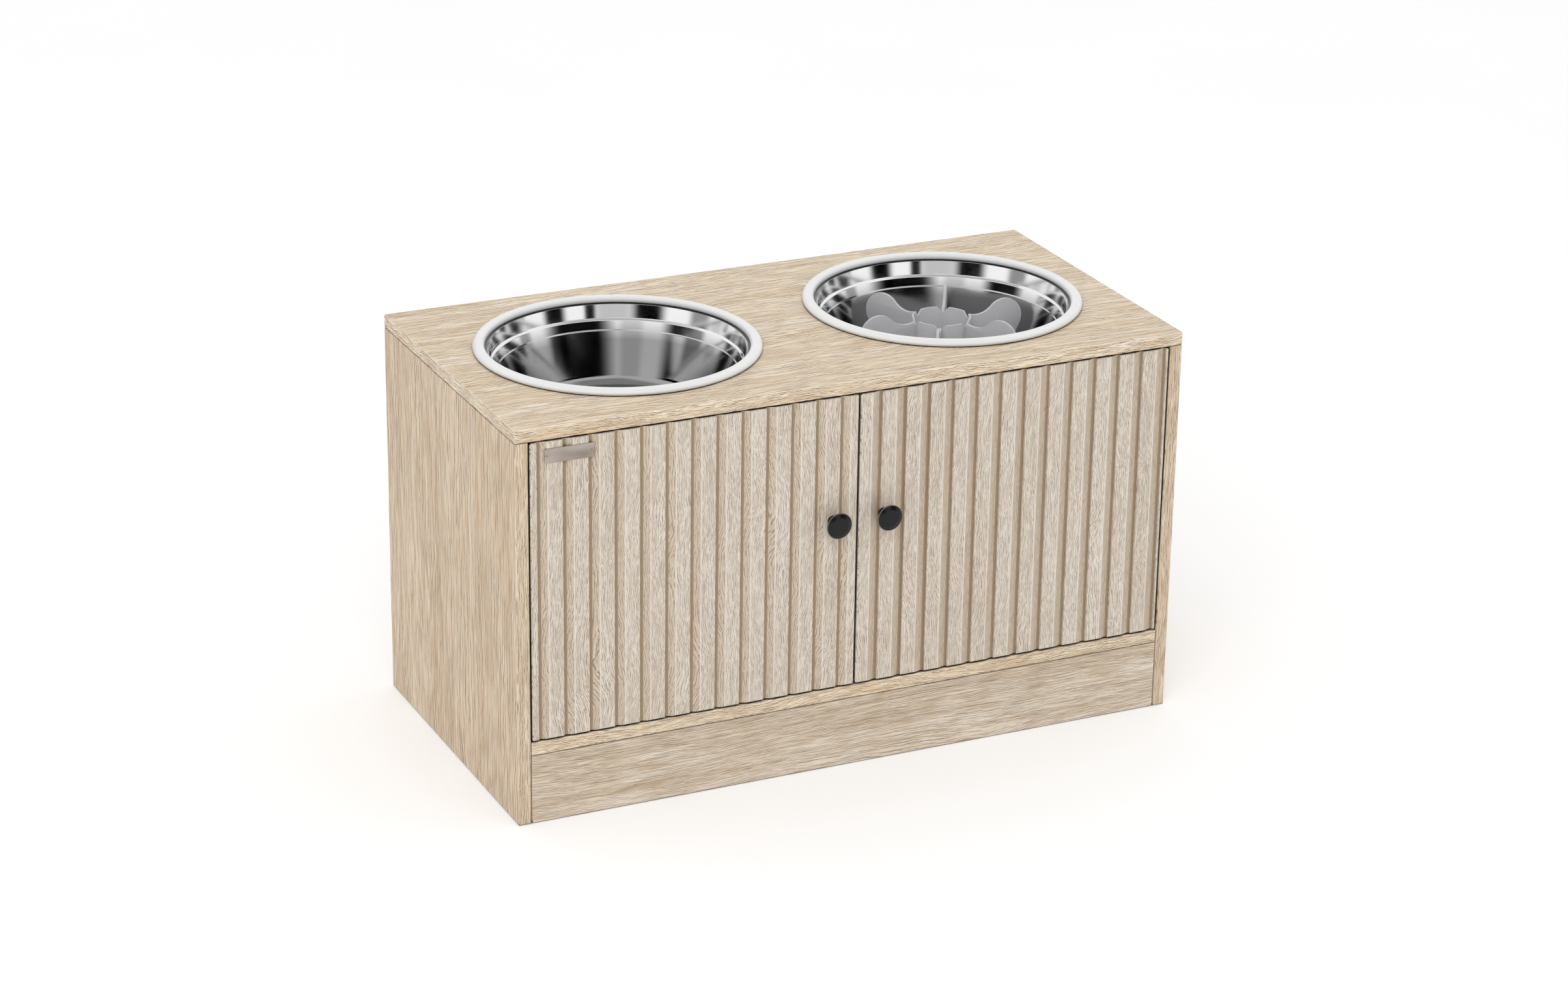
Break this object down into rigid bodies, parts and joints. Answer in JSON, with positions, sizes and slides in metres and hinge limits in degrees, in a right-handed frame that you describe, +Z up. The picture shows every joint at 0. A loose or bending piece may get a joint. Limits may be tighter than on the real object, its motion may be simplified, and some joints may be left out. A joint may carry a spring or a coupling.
{
  "type": "elevated dog feeder with storage",
  "caption": "Raised feeding station for a dog: lift-out steel water and food bowls in the top of a low oak cabinet with fluted doors and storage inside.",
  "frame": {"origin": "on the floor, under the middle of the whole object with its door knobs", "axes": "+X along the width, to the right as the doors are faced; +Y from the doors to the back; +Z up"},
  "size_m": [0.64, 0.336, 0.371],
  "materials": {
    "oak": "light oak veneer, matt",
    "back_board": "pale hardboard, matt",
    "beech": "plain beech",
    "zinc": "zinc plated",
    "pin_steel": "bright drawn steel",
    "white_plastic": "moulded, matt",
    "black_plastic": "moulded, matt",
    "magnet": "dark grey ferrite",
    "black_knob": "black gloss",
    "bowl_steel": "polished stainless steel",
    "grey_plastic": "moulded, satin grey"
  },
  "bodies": {
    "cabinet": {"top_board": "oak", "left_side_panel": "oak", "right_side_panel": "oak", "bottom_shelf": "oak", "kick_board": "oak", "rear_rail": "oak", "back_panel": "back_board", "cam_locks": "zinc", "cam_bolts": "zinc", "wooden_dowels": "beech", "pivot_bushes": "black_plastic", "left_catch_housing": "white_plastic", "right_catch_housing": "white_plastic", "left_catch_magnet": "magnet", "right_catch_magnet": "magnet", "catch_screws": "zinc"},
    "left_door": {"left_door": "oak", "left_door_knob": "black_knob", "left_knob_screw": "zinc", "left_door_pins": "pin_steel", "left_strike_plate": "zinc", "left_strike_screws": "zinc"},
    "right_door": {"right_door": "oak", "right_door_knob": "black_knob", "right_knob_screw": "zinc", "right_door_pins": "pin_steel", "right_strike_plate": "zinc", "right_strike_screws": "zinc"},
    "water_bowl": {"water_bowl": "bowl_steel"},
    "food_bowl": {"food_bowl": "bowl_steel"},
    "slow_feed_insert": {"slow_feed_insert": "grey_plastic"}
  },
  "joints": [
    {"name": "left_door_hinge", "type": "hinge", "parent": "cabinet", "child": "left_door", "pos_m": [-0.2865, -0.146, 0.21475], "axis": [0, 0, -1], "range_deg": [0, 110]},
    {"name": "right_door_hinge", "type": "hinge", "parent": "cabinet", "child": "right_door", "pos_m": [0.2865, -0.146, 0.21475], "axis": [0, 0, 1], "range_deg": [0, 110]},
    {"name": "water_bowl_lift", "type": "slide", "parent": "cabinet", "child": "water_bowl", "axis": [0, 0, 1], "range_m": [0, 0.09]},
    {"name": "food_bowl_lift", "type": "slide", "parent": "cabinet", "child": "food_bowl", "axis": [0, 0, 1], "range_m": [0, 0.09]},
    {"name": "insert_lift", "type": "slide", "parent": "food_bowl", "child": "slow_feed_insert", "axis": [0, 0, 1], "range_m": [0, 0.08]}
  ]
}
